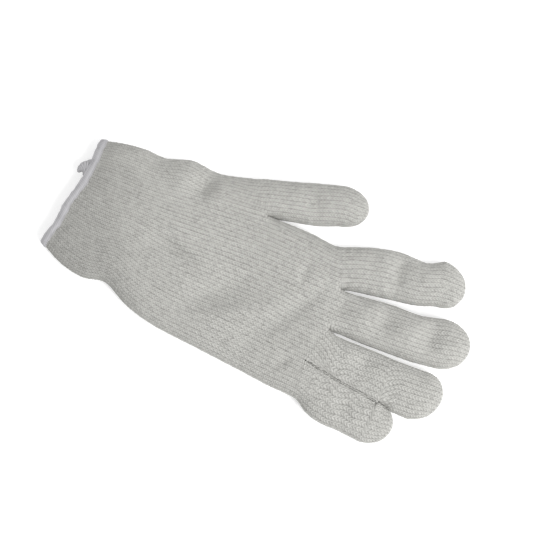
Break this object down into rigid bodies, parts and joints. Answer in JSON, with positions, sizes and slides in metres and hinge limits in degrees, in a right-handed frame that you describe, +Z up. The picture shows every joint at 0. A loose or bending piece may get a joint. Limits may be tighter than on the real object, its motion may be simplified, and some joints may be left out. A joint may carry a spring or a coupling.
{
  "type": "string knit work glove",
  "caption": "Hollow string knit work glove lying flat, with an elastic cuff, an overlocked hem and five knitted stalls.",
  "frame": {"origin": "on the table under the middle of the glove's bounding box", "axes": "+X from the cuff to the fingertips, +Y towards the thumb, +Z up, out of the back of the hand"},
  "size_m": [0.251, 0.136, 0.0154],
  "materials": {
    "knit": "matte cotton and polyester string yarn, plain knit",
    "hem_thread": "matte spun overlock thread over the knit edge"
  },
  "bodies": {
    "root": {"cuff_hem": "hem_thread", "cuff": "knit", "hand": "knit", "thumb": "knit", "index_finger": "knit", "middle_finger": "knit", "ring_finger": "knit", "little_finger": "knit"}
  },
  "joints": []
}
